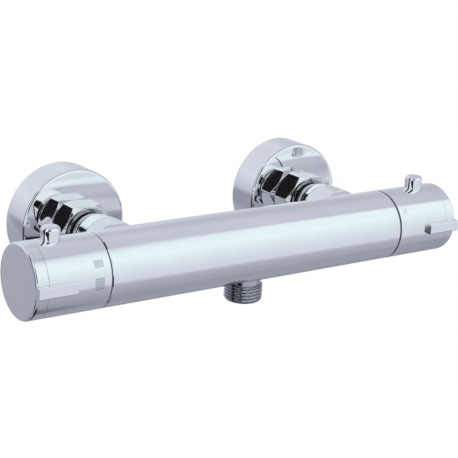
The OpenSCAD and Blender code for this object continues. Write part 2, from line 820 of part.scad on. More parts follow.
module regulating_nut() color("goldenrod") at_end(1) difference() {
  union() {
    rod(carrier_r, carrier_front, carrier_front + carrier_len);
    for (a = [0, 180]) rotate([0, 0, a]) translate([0, -key_w / 2, carrier_front])
      cube([carrier_r + key_out, key_w, carrier_len]);
  }
  rod(carrier_cup_r, carrier_front - cut, carrier_front + carrier_cup_depth);
  translate([0, 0, carrier_front])
    rod(carrier_thread_r, carrier_cup_depth + carrier_wall, carrier_len + cut);
}

// Splined end that a knob hub slides on, with a tapped hole for its screw
module splined_end(z0) {
  difference() {
    rod(spline_r, z0 - cut, spline_end);
    rod(screw_r + seat_gap, spline_end - screw_len, spline_end + cut);
    around(spline_teeth) translate([spline_r + spline_tooth_r / 2, 0, 0])
      rod(spline_tooth_r, head_end + spline_lead, spline_end + cut, $fn = 16);
  }
}

module regulating_spindle() color("silver") at_end(1) {
  rod(spindle_thread_r, spindle_thread_z, spindle_flange_z + spindle_flange_t / 2);
  rod(spindle_flange_r, spindle_flange_z, spindle_flange_z + spindle_flange_t);
  rod(spindle_r, spindle_thread_z, head_end + run_gap);
  splined_end(head_end + run_gap);
}

// Ceramic flow cartridge
module disc_holes(z0, z1, a0) {
  for (a = [a0, a0 + 180])
    sector(disc_hole_out, disc_hole_in, z0 - cut, z1 + cut, a - disc_hole_arc / 2, disc_hole_arc);
}

module flow_seal() color("black") at_end(-1)
  tube(disc_bore_r, flow_seal_hole_r, flow_bore_end, flow_bore_end + flow_seal_t);

module fixed_disc() color("white") at_end(-1) difference() {
  rod(disc_r, fixed_disc_z, moving_disc_z);
  disc_holes(fixed_disc_z, moving_disc_z, 0);
}

module fork_lugs(gap) {
  for (a = [0, 180]) rotate([0, 0, a])
    translate([disc_r - fork_lug_r - gap, -fork_lug_w / 2 - gap, fork_z - fork_lug - gap])
    cube([fork_lug_r + 2 * gap + cut, fork_lug_w + 2 * gap, fork_lug + 2 * gap]);
}

module moving_disc() color("whitesmoke") at_end(-1) difference() {
  rod(disc_r, moving_disc_z, fork_z);
  disc_holes(moving_disc_z, fork_z, 90);
  fork_lugs(seat_gap);
}

module flow_headwork() color("darkgoldenrod") at_end(-1) difference() {
  union() {
    rod(headwork_r, headwork_front, pocket_z);
    rod(flange_r, pocket_z, pocket_z + flange_t);
    rod(head_r, pocket_z + flange_t, head_step);
    rod(head_top_r, head_step, head_end);
  }
  rod(disc_bore_r + seat_gap, headwork_front - cut, headwork_chamber_end);
  rod(spindle_r + run_gap, headwork_front, head_end + cut);
  around(headwork_windows) translate([spindle_r, 0, headwork_window_z]) rotate([0, 90, 0])
    cylinder(r = headwork_window_r, h = headwork_r, $fn = 24);
  groove(headwork_r, headwork_ring_depth, headwork_window_z, headwork_ring_w);
  groove(headwork_r, small_oring_depth, headwork_groove_z, 2 * small_oring_r + seat_gap);
}

module flow_oring() color("black") at_end(-1)
  seal_ring(flow_bore_r - seat_gap / 2 - small_oring_r, small_oring_r, headwork_groove_z);

module flow_spindle() color("silver") at_end(-1) {
  intersection() {
    rod(disc_r, fork_z, fork_z + fork_t);
    translate([-disc_r, -fork_bar_w / 2, fork_z]) cube([2 * disc_r, fork_bar_w, fork_t]);
  }
  intersection() {
    fork_lugs(0);
    rod(disc_r, moving_disc_z, fork_z + fork_t);
  }
  rod(spindle_r, fork_z + fork_t, head_end + run_gap);
  splined_end(head_end + run_gap);
}

// Ring that screws into the bar and holds a cartridge
module gland_ring(side) color("goldenrod") at_end(side) difference() {
  tube(gland_r, gland_bore_r, pocket_z + flange_t, body_half);
  around(gland_notches, 45) translate([head_r, -gland_notch_w / 2, body_half - gland_notch_depth])
    cube([gland_r, gland_notch_w, gland_notch_depth + cut]);
}

// Ring on the cartridge head whose lug ends the turn of the knob; low and high are the turns each way
module stop_ring(side, low, high) color("whitesmoke") at_end(side) {
  free = rib_arc / 2 + rib_margin;
  first = rib_angle - low - free;
  step = (low + high + 2 * free) / stop_steps;
  far = 2 * stop_lug_r;
  translate([0, 0, stop_z]) linear_extrude(stop_t) difference() {
    circle(stop_lug_r);
    circle(head_r + seat_gap);
    difference() {
      polygon([[0, 0], for (i = [0 : stop_steps]) far * [cos(first + i * step), sin(first + i * step)]]);
      circle(stop_ring_r);
    }
  }
}

// Dark ring in the seam between the bar and a knob
module slide_ring(side) color("darkslategrey") at_end(side)
  tube(slide_ring_r, pocket_r + seat_gap, body_half, knob_front - 2 * seat_gap);

// Slot that the grip fin sits in
module fin_space(gap) {
  translate([-fin_h / 2 - gap, -bar_r - fin_out - gap, knob_end - fin_len - gap])
    cube([fin_h + 2 * gap, bar_r + fin_out + gap - fin_floor_r, fin_len + 2 * gap + cut]);
}

module button_space(r) {
  translate([0, 0, button_axis]) rotate([0, -90, 0]) rod(r, 0, bar_r + cut);
}

module knob_shell(side) color("gainsboro") at_end(side) {
  difference() {
    union() {
      tube(bar_r, shell_bore_r, knob_front, cap_front - cap_seam);
      tube(shell_bore_r + seat_gap, rib_r, web_z - shoulder_t, web_z);
      sector(shell_bore_r + seat_gap, rib_r, knob_front + seat_gap, knob_front + rib_len,
        rib_angle - rib_arc / 2, rib_arc);
    }
    fin_space(seat_gap);
    button_space(button_r + run_gap);
  }
}

// Hub inside the knob: it fits the spline of the spindle and carries the button spring
module knob_hub(side) color("whitesmoke") at_end(side) difference() {
  union() {
    rod(shell_bore_r - seat_gap, web_z, web_z + web_t);
    rod(hub_r, web_z, hub_end);
  }
  rod(spline_bore_r, web_z - cut, spline_end + seat_gap);
  rod(screw_r + screw_head_gap, spline_end, hub_end);
  rod(screw_head_r + screw_head_gap, spline_end + hub_top_wall, hub_end + cut);
  translate([-hub_r - cut, 0, button_axis]) rotate([0, 90, 0])
    cylinder(r = spring_pad_r, h = hub_r + cut - spring_pad_z);
  translate([-shell_bore_r, -web_slot_w / 2, web_z - cut])
    cube([shell_bore_r - hub_r - cut, web_slot_w, web_t + 2 * cut]);
}

module knob_fin(side) color("silver") at_end(side) translate([0, 0, knob_end - fin_len]) {
  depth = bar_r + fin_out - fin_floor_r;
  linear_extrude(fin_len) difference() {
    translate([-fin_h / 2, -bar_r - fin_out]) square([fin_h, depth]);
    for (s = [-1, 1]) translate([s * fin_h / 2, -bar_r - fin_out]) rotate([0, 0, 45])
      square(fin_edge * sqrt(2), center = true);
  }
}

module end_cap(side) color("gainsboro") at_end(side) difference() {
  rotate_extrude() difference() {
    union() {
      rounded_outline(bar_r, cap_front, knob_end, cap_edge);
      translate([0, cap_front - spigot_len]) square([spigot_r, spigot_len + cut]);
    }
    translate([0, cap_front - spigot_len - cut])
      square([spigot_bore_r, spigot_len + cut + cap_len - cap_plate]);
  }
  fin_space(seat_gap);
}

module knob_screw(side) color("dimgrey") at_end(side) difference() {
  seat = spline_end + hub_top_wall;
  union() {
    rod(screw_r, spline_end - screw_len + cut, seat);
    rod(screw_head_r, seat, hub_end - seat_gap);
  }
  translate([0, 0, hub_end - screw_socket_depth])
    cylinder(r = screw_socket_af / sqrt(3), h = hub_end, $fn = 6);
}

// Stop button with its foot inside the shell, its tongue above the stop ring and a pocket for its spring
module stop_button(side) color("gainsboro") at_end(side) {
  difference() {
    union() {
      translate([0, 0, button_axis]) rotate([0, -90, 0]) rotate_extrude()
        rounded_outline(button_r, button_foot_z, button_top, button_edge);
      intersection() {
        button_foot();
        rod(button_foot_top_r, button_axis - button_foot_r, button_axis + button_foot_r);
      }
      translate([-tongue_z - tongue_t, -tongue_w / 2, tongue_end])
        cube([tongue_t, tongue_w, button_axis - button_foot_r + cut - tongue_end]);
    }
    translate([0, 0, button_axis]) rotate([0, -90, 0])
      rod(button_pocket_r, button_foot_z - cut, button_pocket_top);
  }
}

module button_foot() {
  translate([0, 0, button_axis]) rotate([0, -90, 0]) rod(button_foot_r, button_foot_z, shell_bore_r);
}

module button_spring(side) color("slategrey") at_end(side)
  translate([0, 0, button_axis]) rotate([0, -90, 0])
    coil(button_spring_r, button_wire, button_turns, spring_pad_z, button_pocket_top);

bar_body();
outlet_nipple();
inlet_tail(-1);  // inlet_tail_left
inlet_tail(1);  // inlet_tail_right
union_nut(-1);  // union_nut_left
union_nut(1);  // union_nut_right
inlet_washer(-1);  // inlet_washer_left
inlet_washer(1);  // inlet_washer_right
inlet_strainer(-1);  // inlet_strainer_left
inlet_strainer(1);  // inlet_strainer_right
s_union(-1);  // s_union_left
s_union(1);  // s_union_right
escutcheon(-1);  // escutcheon_left
escutcheon(1);  // escutcheon_right
check_body(-1);  // check_body_left
check_body(1);  // check_body_right
check_poppet(-1);  // check_poppet_left
check_poppet(1);  // check_poppet_right
check_spring(-1);  // check_spring_left
check_spring(1);  // check_spring_right
thermo_nose();
thermo_sleeve();
thermo_orings();
mixing_shuttle();
wax_element();
element_piston();
return_spring();
overload_cup();
overload_spring();
regulating_nut();
regulating_spindle();
gland_ring(1);  // temp_gland_ring
stop_ring(1, cold_travel, hot_travel);  // temp_stop_ring
slide_ring(1);  // temp_slide_ring
knob_shell(1);  // temp_knob_shell
knob_hub(1);  // temp_knob_hub
knob_fin(1);  // temp_knob_fin
end_cap(1);  // temp_end_cap
knob_screw(1);  // temp_knob_screw
stop_button(1);  // temp_button
button_spring(1);  // temp_button_spring
flow_seal();
fixed_disc();
moving_disc();
flow_headwork();
flow_oring();
flow_spindle();
gland_ring(-1);  // flow_gland_ring
stop_ring(-1, flow_travel, 0);  // flow_stop_ring
slide_ring(-1);  // flow_slide_ring
knob_shell(-1);  // flow_knob_shell
knob_hub(-1);  // flow_knob_hub
knob_fin(-1);  // flow_knob_fin
end_cap(-1);  // flow_end_cap
knob_screw(-1);  // flow_knob_screw
stop_button(-1);  // flow_button
button_spring(-1);  // flow_button_spring
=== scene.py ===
import json
import math

import bmesh
import bpy
from mathutils import Matrix, Vector


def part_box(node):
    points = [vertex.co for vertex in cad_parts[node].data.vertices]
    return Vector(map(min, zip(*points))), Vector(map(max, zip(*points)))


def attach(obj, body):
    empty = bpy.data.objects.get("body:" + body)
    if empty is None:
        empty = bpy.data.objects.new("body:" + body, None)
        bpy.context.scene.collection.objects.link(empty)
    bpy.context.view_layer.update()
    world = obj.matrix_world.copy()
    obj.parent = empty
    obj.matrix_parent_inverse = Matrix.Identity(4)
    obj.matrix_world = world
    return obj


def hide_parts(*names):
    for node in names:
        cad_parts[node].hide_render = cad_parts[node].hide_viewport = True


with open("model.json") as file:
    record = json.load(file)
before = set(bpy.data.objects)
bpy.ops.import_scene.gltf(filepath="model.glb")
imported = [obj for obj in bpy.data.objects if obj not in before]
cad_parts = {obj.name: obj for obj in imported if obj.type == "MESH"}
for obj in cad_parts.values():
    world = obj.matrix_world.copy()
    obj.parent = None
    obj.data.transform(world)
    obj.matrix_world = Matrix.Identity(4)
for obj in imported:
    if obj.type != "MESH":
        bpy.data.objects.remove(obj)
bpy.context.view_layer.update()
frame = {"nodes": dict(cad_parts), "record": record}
MM = 0.001
BAR_Y, BAR_Z, BAR_R = -74 * MM, 2 * MM, 19.75 * MM  # the bar's axis and radius


class Nodes:
    """A node tree that is built node by node."""

    def __init__(self, tree):
        self.nt = tree
        self.nt.nodes.clear()

    def add(self, kind, **props):
        node = self.nt.nodes.new(kind)
        for key, value in props.items():
            setattr(node, key, value)
        return node

    def link(self, a, out, b, inp):
        self.nt.links.new(a.outputs[out], b.inputs[inp])


# Materials
class Tree(Nodes):
    """A material's nodes round one principled shader."""

    def __init__(self, name):
        self.mat = bpy.data.materials.new(name)
        self.mat.use_nodes = True
        super().__init__(self.mat.node_tree)
        out = self.add("ShaderNodeOutputMaterial")
        self.bsdf = self.add("ShaderNodeBsdfPrincipled")
        self.link(self.bsdf, 0, out, "Surface")
        self.coord = self.add("ShaderNodeTexCoord")

    def noise(self, scale, detail=3.0, stretch=(1, 1, 1), rough=0.5):
        mapping = self.add("ShaderNodeMapping")
        mapping.inputs["Scale"].default_value = stretch
        self.link(self.coord, "Object", mapping, "Vector")
        node = self.add("ShaderNodeTexNoise")
        node.inputs["Scale"].default_value = scale
        node.inputs["Detail"].default_value = detail
        node.inputs["Roughness"].default_value = rough
        self.link(mapping, 0, node, "Vector")
        return node

    def spread(self, node, low, high):
        """The middle of a noise's range, spread from low to high."""
        ranged = self.add("ShaderNodeMapRange")
        ranged.inputs["From Min"].default_value = 0.3
        ranged.inputs["From Max"].default_value = 0.7
        ranged.inputs["To Min"].default_value = low
        ranged.inputs["To Max"].default_value = high
        self.link(node, 0, ranged, "Value")
        return ranged

    def tint(self, node, dark, light):
        """Base colour between two shades."""
        ramp = self.add("ShaderNodeValToRGB")
        ramp.color_ramp.elements[0].position = 0.3
        ramp.color_ramp.elements[0].color = (*dark, 1)
        ramp.color_ramp.elements[1].position = 0.7
        ramp.color_ramp.elements[1].color = (*light, 1)
        self.link(node, 0, ramp, 0)
        self.link(ramp, 0, self.bsdf, "Base Color")

    def bump(self, node, strength, distance, after=None):
        b = self.add("ShaderNodeBump")
        b.inputs["Strength"].default_value = strength
        b.inputs["Distance"].default_value = distance
        self.link(node, 0, b, "Height")
        if after is not None:
            self.link(after, 0, b, "Normal")
        return b

    def normal(self, node):
        self.link(node, 0, self.bsdf, "Normal")


def shade(c, k):
    return tuple(min(1.0, v * k) for v in c)


def chrome(name, color, rough=(0.02, 0.05), edge=0.25 * MM):
    """Plated metal: faint polishing waves, a thin veil of water marks and rounded edges."""
    t = Tree(name)
    t.bsdf.inputs["Metallic"].default_value = 1.0
    marks = t.noise(55, 4, rough=0.6)
    t.tint(marks, shade(color, 0.965), color)
    t.link(t.spread(t.noise(140, 5, rough=0.65), *rough), 0, t.bsdf, "Roughness")
    bevel = t.add("ShaderNodeBevel", samples=8)
    bevel.inputs["Radius"].default_value = edge
    t.normal(t.bump(t.noise(38, 2), 0.08, 0.06 * MM, after=bevel))
    return t.mat


def metal(name, color, rough=(0.18, 0.32), grain=1200, stretch=(1, 1, 1)):
    """Turned or drawn metal with fine tool marks."""
    t = Tree(name)
    t.bsdf.inputs["Metallic"].default_value = 1.0
    t.tint(t.noise(160, 5, rough=0.6), shade(color, 0.88), shade(color, 1.06))
    t.link(t.spread(t.noise(420, 4), *rough), 0, t.bsdf, "Roughness")
    bevel = t.add("ShaderNodeBevel", samples=4)
    bevel.inputs["Radius"].default_value = 0.12 * MM
    t.normal(t.bump(t.noise(grain, 3, stretch=stretch), 0.35, 0.02 * MM, after=bevel))
    return t.mat


def moulded(name, color, rough=(0.35, 0.5), spec=0.5, grain=2600, depth=0.03 * MM):
    """Moulded plastic, rubber, fibre or ceramic with a fine surface grain."""
    t = Tree(name)
    t.bsdf.inputs["Specular IOR Level"].default_value = spec
    t.tint(t.noise(220, 4), shade(color, 0.9), shade(color, 1.07))
    t.link(t.spread(t.noise(500, 3), *rough), 0, t.bsdf, "Roughness")
    t.normal(t.bump(t.noise(grain, 4), 0.3, depth))
    return t.mat


def woven(name, color, pitch=0.6 * MM):
    """Woven steel sieve."""
    t = Tree(name)
    t.bsdf.inputs["Metallic"].default_value = 1.0
    t.tint(t.noise(900, 3), shade(color, 0.8), shade(color, 1.05))
    waves = []
    for direction in ("X", "Z"):
        w = t.add("ShaderNodeTexWave", bands_direction=direction)
        w.inputs["Scale"].default_value = 0.314 / pitch  # a wave is pi / 10 long at scale 1
        t.link(t.coord, "Object", w, "Vector")
        waves.append(w)
    both = t.add("ShaderNodeMath", operation="MAXIMUM")
    t.link(waves[0], 1, both, 0)
    t.link(waves[1], 1, both, 1)
    t.bsdf.inputs["Roughness"].default_value = 0.3
    t.normal(t.bump(both, 0.8, 0.1 * MM))
    return t.mat


SLOT = {m["slot"]: tuple(m["base_color"][:3]) for m in frame["record"]["materials"]}
mats = {}
for slot in ("bar_chrome", "button_chrome", "nut_chrome", "plate_chrome"):
    mats[slot] = chrome(slot, SLOT[slot])
mats["nipple_chrome"] = chrome("nipple_chrome", (0.5, 0.51, 0.54), rough=(0.1, 0.16), edge=0.08 * MM)
mats["knob_chrome"] = chrome("knob_chrome", SLOT["knob_chrome"], rough=(0.05, 0.1))
mats["cap_chrome"] = chrome("cap_chrome", SLOT["cap_chrome"], rough=(0.08, 0.14), edge=0.2 * MM)
mats["fin_chrome"] = chrome("fin_chrome", SLOT["fin_chrome"], rough=(0.15, 0.22))
mats["tail_brass"] = chrome("tail_brass", SLOT["tail_brass"], rough=(0.08, 0.16))
for slot, tool_marks in (("union_brass", (1, 14, 1)), ("turned_brass", (14, 1, 1)), ("ring_brass", (14, 1, 1))):
    mats[slot] = metal(slot, SLOT[slot], stretch=tool_marks)
mats["element_copper"] = metal("element_copper", SLOT["element_copper"], rough=(0.25, 0.4))
mats["piston_steel"] = metal("piston_steel", SLOT["piston_steel"], rough=(0.1, 0.18))
mats["spring_steel"] = metal("spring_steel", SLOT["spring_steel"], rough=(0.22, 0.34))
mats["screw_steel"] = metal("screw_steel", SLOT["screw_steel"], rough=(0.25, 0.38))
mats["mesh_steel"] = woven("mesh_steel", SLOT["mesh_steel"])
mats["fibre"] = moulded("fibre", SLOT["fibre"], rough=(0.75, 0.9), spec=0.25, grain=1500, depth=0.08 * MM)
mats["seal_rubber"] = moulded("seal_rubber", SLOT["seal_rubber"], rough=(0.4, 0.55))
for slot in ("check_plastic", "poppet_plastic", "stop_plastic", "hub_plastic"):
    mats[slot] = moulded(slot, SLOT[slot])
mats["cartridge_plastic"] = moulded("cartridge_plastic", SLOT["cartridge_plastic"], rough=(0.42, 0.58))
# Black plastic slide ring, darkened to 0.4 of its own colour as painted shade in the gap between bar and knob
mats["slide_plastic"] = moulded("slide_plastic", shade(SLOT["slide_plastic"], 0.4), rough=(0.4, 0.5), spec=0.25)
mats["ceramic"] = moulded("ceramic", SLOT["ceramic"], rough=(0.08, 0.16), grain=4000, depth=0.01 * MM)


def split_edges(obj, degrees):
    """Crisp edges where faces meet at more than this angle."""
    e = obj.modifiers.new("edges", "EDGE_SPLIT")
    e.split_angle = math.radians(degrees)


def finish_mesh(obj):
    """Smooth shading with crisp edges, without touching the points."""
    for p in obj.data.polygons:
        p.use_smooth = True
    w = obj.modifiers.new("weld", "WELD")
    w.merge_threshold = 0.002 * MM
    split_edges(obj, 28)
    n = obj.modifiers.new("normals", "WEIGHTED_NORMAL")
    n.keep_sharp = True


slot_of = {s["node"]: s["material_slot"] for s in frame["record"]["subparts"]}
for name, obj in frame["nodes"].items():
    obj.data.materials.clear()
    obj.data.materials.append(mats[slot_of[name]])
    finish_mesh(obj)


# Pieces made here
def piece(name, verts, faces, mat, body):
    mesh = bpy.data.meshes.new(name)
    mesh.from_pydata([tuple(v) for v in verts], [], faces)
    mesh.validate()
    mesh.update()
    mesh.materials.append(mat)
    for p in mesh.polygons:
        p.use_smooth = True
    obj = bpy.data.objects.new(name, mesh)
    bpy.context.scene.collection.objects.link(obj)
    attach(obj, body)
    return obj


def ring_faces(rings, seg):
    """Faces of a closed skin over rings of seg points each, the last ring joined to the first."""
    faces = []
    for i in range(rings):
        j = (i + 1) % rings
        for k in range(seg):
            m = (k + 1) % seg
            faces.append((i * seg + k, i * seg + m, j * seg + m, j * seg + k))
    return faces


def close_skin(obj, split):
    """Outward faces, with crisp edges."""
    bm = bmesh.new()
    bm.from_mesh(obj.data)
    bmesh.ops.recalc_face_normals(bm, faces=bm.faces)
    bm.to_mesh(obj.data)
    bm.free()
    split_edges(obj, split)


def full_turn(seg):
    return [2 * math.pi * k / seg for k in range(seg)]


def outlet_nipple():
    """Nipple with its helical pipe thread, an undercut above it and a hexagon socket."""
    low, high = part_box("outlet_nipple")
    pitch, major, depth = 1.814 * MM, 10.4775 * MM, 1.162 * MM
    neck, bore, socket_r, socket_h = 9.1 * MM, 5.2 * MM, 12 * MM / math.sqrt(3), 7 * MM
    lead_in, run_out, undercut = 1.2 * MM, 0.5 * MM, 0.6 * MM
    bottom, top = low.z, high.z
    thread_top = BAR_Z - BAR_R - undercut
    seg, steps = 128, 96
    turns = full_turn(seg)

    def thread(a, z):
        lead = ((z - bottom) / pitch - a / (2 * math.pi)) % 1.0
        ridge = 0.5 - 0.5 * math.cos(2 * math.pi * lead)
        ridge = min(1.0, max(0.0, 1.35 * ridge - 0.12))  # flattens the crests and roots
        start = min(1.0, (z - bottom) / lead_in)
        end = min(1.0, (thread_top - z) / run_out)
        return min(major - depth * (1 - ridge), major - depth + depth * start, neck + (major - neck) * end)

    def hexagon(a, z):
        return socket_r * math.cos(math.pi / 6) / math.cos(a % (math.pi / 3) - math.pi / 6)

    profile = [(z, lambda a, z: neck) for z in (top, thread_top + 0.02 * MM)]
    profile += [(thread_top + (bottom - thread_top) * i / steps, thread) for i in range(steps + 1)]
    profile += [(bottom, hexagon), (bottom + socket_h, hexagon)]
    profile += [(bottom + socket_h, lambda a, z: bore), (top, lambda a, z: bore)]
    verts = [(r(a, z) * math.cos(a), BAR_Y + r(a, z) * math.sin(a), z) for z, r in profile for a in turns]
    obj = piece("outlet_nipple_threaded", verts, ring_faces(len(profile), seg), mats["nipple_chrome"],
                "valve_body")
    close_skin(obj, 40)
    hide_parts("outlet_nipple")


outlet_nipple()


# Lengths from here to the nuts are in millimetres
INLETS = {"left": -75, "right": 75}
INLET_Z = 8
# Painted shade: a near-black colour for the tail pieces' grooves, standing in for the shadow in these recesses
groove_painted_shade = moulded("groove_painted_shade", (0.012, 0.012, 0.014), rough=(0.45, 0.6), spec=0.2)


def ring_mesh(name, x, rings, slot, body, node, seg, split):
    """Closed skin round an inlet's axis: each ring is (depth, radius by angle)."""
    verts = [(MM * (x + r(a) * math.cos(a)), MM * y, MM * (INLET_Z + r(a) * math.sin(a)))
             for y, r in rings for a in full_turn(seg)]
    obj = piece(name, verts, ring_faces(len(rings), seg), mats[slot], body)
    close_skin(obj, split)
    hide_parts(node)
    return obj


def turned(name, x, profile, slot, node):
    """Turned piece of the valve's body from (radius, depth) points."""
    return ring_mesh(name, x, [(y, lambda a, r=r: r) for r, y in profile], slot, "valve_body", node, 160, 30)


def fillet(r, y, radius, a0, a1, n):
    """Points of a rounded edge about (r, y), angles in degrees from the outward radius towards the wall."""
    angles = [math.radians(a0 + (a1 - a0) * k / n) for k in range(n + 1)]
    return [(r + radius * math.cos(a), y + radius * math.sin(a)) for a in angles]


def escutcheon(side, x):
    """Flat-faced sheet cup with a rolled front edge and a collar round the union."""
    rim, front, wall, hole, roll, bend, collar_end = 31, -19.45, 1.5, 13.34, 1.7, 0.5, -14
    outer = [(rim, 0)] + fillet(rim - roll, front + roll, roll, 0, -90, 9)
    collar = [(hole, front), (hole, collar_end), (hole + wall, collar_end), (hole + wall, front + wall)]
    inner = fillet(rim - wall - bend, front + wall + bend, bend, -90, 0, 4) + [(rim - wall, 0)]
    turned("escutcheon_plate_" + side, x, outer + collar + inner, "plate_chrome", "escutcheon_" + side)


def inlet_tail(side, x):
    """Tail piece: a plated bead between two grooves coloured near-black as painted shade, then the barrel and flange
    inside the nut.
    """
    bead = [(10.1, -41), (10.1, -39.7)] + fillet(11.2, -39.2, 0.5, -90, 0, 4) + fillet(11.2, -37.7, 0.5, 0, 90, 4)
    barrel = [(10.1, -37.2), (10.1, -34.1), (11.4, -34.1), (11.4, -31.4), (12.9, -31.4), (12.9, -29.6)]
    bore = [(8, -29.6), (8, -43.9), (5, -43.9), (5, -49.95), (9.95, -49.95), (9.95, -41)]
    obj = turned("inlet_tail_turned_" + side, x, bead + barrel + bore, "tail_brass", "inlet_tail_" + side)
    obj.data.materials.append(groove_painted_shade)
    # The groove faces get the painted shade colour
    for p in obj.data.polygons:
        r = math.hypot(p.center.x / MM - x, p.center.z / MM - INLET_Z)
        y = p.center.y / MM
        in_front_groove = 9.99 < r < 10.5 and -41.2 < y < -34
        in_rear_groove = 9.99 < r < 11.5 and -37.3 < y < -34
        if in_front_groove or in_rear_groove:
            p.material_index = 1


def union_nut(side, x, corner):
    """Hexagon nut with softened long edges, chamfered at both ends, and its mouth round the tail piece."""
    flat, soft, front, back = 14.5, 1.8, -34, -19.8
    bore, mouth, mouth_edge, flange_seat = 13.27, 11.45, 13, front + 2.5
    centre = (flat - soft) / math.cos(math.pi / 6)
    edge = math.atan((flat - soft) * math.tan(math.pi / 6) / flat)

    def hexagon(a):
        t = math.radians(abs((math.degrees(a) - corner) % 60 - 30))
        if t <= edge:
            return flat / math.cos(t)
        c = math.pi / 6 - t
        return centre * math.cos(c) + math.sqrt(soft ** 2 - (centre * math.sin(c)) ** 2)

    steps = [0.12 * k for k in range(20)]
    rings = [(front + d, lambda a, d=d: min(hexagon(a), 14.2 + 1.27 * d)) for d in steps]
    rings += [(back - d, lambda a, d=d: min(hexagon(a), 14.3 + d)) for d in reversed(steps)]
    inside = ((bore, back), (bore, flange_seat), (mouth, flange_seat), (mouth, front + 1.6), (mouth_edge, front))
    rings += [(y, lambda a, r=r: r) for r, y in inside]
    ring_mesh("union_nut_hexagon_" + side, x, rings, "nut_chrome", "nut_" + side, "union_nut_" + side, 360, 24)


for side, x in INLETS.items():
    escutcheon(side, x)
    inlet_tail(side, x)
    union_nut(side, x, {"left": 0, "right": -8}[side])


# Etched marks: x is along the bar and arc is round it from the front, in metres
def on_knob(x, arc):
    """Point just above a knob's surface."""
    a = arc / BAR_R
    r = BAR_R + 0.02 * MM
    return (x, BAR_Y - r * math.cos(a), BAR_Z + r * math.sin(a))


def etched(name, strokes, width, mat, body):
    """Strokes etched into the plating, each a list of (x, arc) points."""
    verts, faces = [], []
    for line in strokes:
        base = len(verts)
        for i, (x, s) in enumerate(line):
            x0, s0 = line[max(0, i - 1)]
            x1, s1 = line[min(len(line) - 1, i + 1)]
            d = math.hypot(x1 - x0, s1 - s0) or 1.0
            nx, ns = -(s1 - s0) / d * width / 2, (x1 - x0) / d * width / 2
            verts += [on_knob(x + nx, s + ns), on_knob(x - nx, s - ns)]
        for i in range(len(line) - 1):
            p = base + 2 * i
            faces.append((p, p + 1, p + 3, p + 2))
    piece(name, verts, faces, mat, body)


etch = metal("etched_mark", (0.62, 0.64, 0.67), rough=(0.26, 0.36), grain=2600)
faint_etch = metal("faint_etched_mark", (0.80, 0.81, 0.83), rough=(0.12, 0.2), grain=2600)


def arc_of(degrees):
    return math.radians(degrees) * BAR_R


def water_marks():
    """Five wavy lines for a low flow and, below them, five straight ones for a full flow."""
    lines, length, waves = 5, 5.2, 3
    wavy, straight = [], []
    for i in range(lines):
        share = (i + 0.5) / lines
        s = arc_of(34.5 - 11.5 * share)
        wavy.append([((-104.9 + length * k / 24) * MM, s + 0.14 * MM * math.sin(2 * math.pi * waves * k / 24))
                     for k in range(25)])
        s = arc_of(8.5 - 19 * share)
        straight.append([((-105.2 + length * k / 8) * MM, s) for k in range(9)])
    etched("mark_low_flow", wavy, 0.6 * MM, etch, "flow_knob")
    etched("mark_full_flow", straight, 1.05 * MM, etch, "flow_knob")


water_marks()


def digits():
    """The plain number 38 beside the seam of the temperature knob."""
    cx, cs = 99.9 * MM, arc_of(35.5)
    apart, half_w, quarter_h, n = 1.15 * MM, 0.75 * MM, 0.85 * MM, 14

    def loop(x, s, a0, a1):
        angles = [math.radians(a0 + (a1 - a0) * k / n) for k in range(n + 1)]
        return [(x + half_w * math.cos(a), s + quarter_h * math.sin(a)) for a in angles]

    three = [loop(cx - apart, cs + quarter_h, 150, -90), loop(cx - apart, cs - quarter_h, 90, -150)]
    eight = [loop(cx + apart, cs + quarter_h, 0, 360), loop(cx + apart, cs - quarter_h, 0, 360)]
    etched("mark_38", three + eight, 0.36 * MM, faint_etch, "temp_knob")


digits()


# Floor, surroundings, light and camera
def stage_floor():
    """Pale disc below the valve. It keeps the shadow and stays out of the plating's reflections."""
    bm = bmesh.new()
    bmesh.ops.create_circle(bm, cap_ends=True, segments=96, radius=0.9)
    mesh = bpy.data.meshes.new("floor")
    bm.to_mesh(mesh)
    bm.free()
    obj = bpy.data.objects.new("floor", mesh)
    obj.location = (0, -50 * MM, -420 * MM)
    obj.visible_glossy = False
    bpy.context.scene.collection.objects.link(obj)
    mat = bpy.data.materials.new("floor")
    mat.use_nodes = True
    t = Nodes(mat.node_tree)
    out = t.add("ShaderNodeOutputMaterial")
    pale = t.add("ShaderNodeBsdfDiffuse")
    pale.inputs["Color"].default_value = (0.9, 0.9, 0.9, 1)
    glow = t.add("ShaderNodeEmission")
    glow.inputs["Color"].default_value = (1, 1, 1, 1)
    glow.inputs["Strength"].default_value = 0.35
    both = t.add("ShaderNodeAddShader")
    t.link(pale, 0, both, 0)
    t.link(glow, 0, both, 1)
    t.link(both, 0, out, 0)
    mesh.materials.append(mat)


def cool(level):
    """Slightly blue grey of this level from 0 to 255, turning to cyan where it is brightest."""
    part = min(1, level / 140)
    red = part * min(14, 3 + 0.35 * max(0, level - 208))
    blue = part * (13 - 0.25 * max(0, level - 205))
    return (level - red, level, level + blue)


def linear(rgb):
    """Light that the plating shows as this colour on screen."""
    out = []
    for v, k in zip(rgb, (0.93, 0.935, 0.95)):
        v /= 255
        out.append((v / 12.92 if v < 0.04045 else ((v + 0.055) / 1.055) ** 2.4) / k)
    return (*out, 1)


